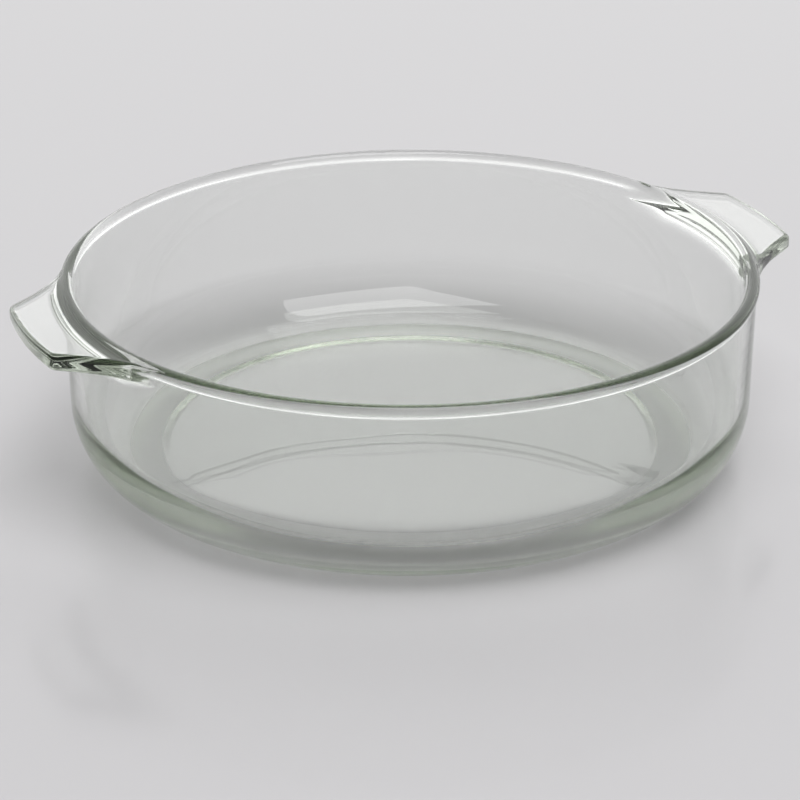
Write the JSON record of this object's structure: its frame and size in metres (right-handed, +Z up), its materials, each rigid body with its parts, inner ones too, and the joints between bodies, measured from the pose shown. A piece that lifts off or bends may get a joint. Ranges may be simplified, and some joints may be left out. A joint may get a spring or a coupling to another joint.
{
  "type": "glass casserole dish",
  "caption": "Round open casserole dish of clear pressed glass, with near-straight sides, a curved heel, a rounded rim and a flat tab handle on each side.",
  "frame": {"origin": "on the table under the middle of the dish, in the plane of the standing ring", "axes": "+Z up out of the open top; +X towards the right handle, with the handles along X"},
  "size_m": [0.299, 0.26, 0.073],
  "materials": {
    "clear_glass": "clear, smooth and fire-polished, with a faint grey-green edge colour"
  },
  "bodies": {
    "root": {"base": "clear_glass", "heel": "clear_glass", "side_wall": "clear_glass", "rim": "clear_glass", "left_handle": "clear_glass", "right_handle": "clear_glass"}
  },
  "joints": []
}
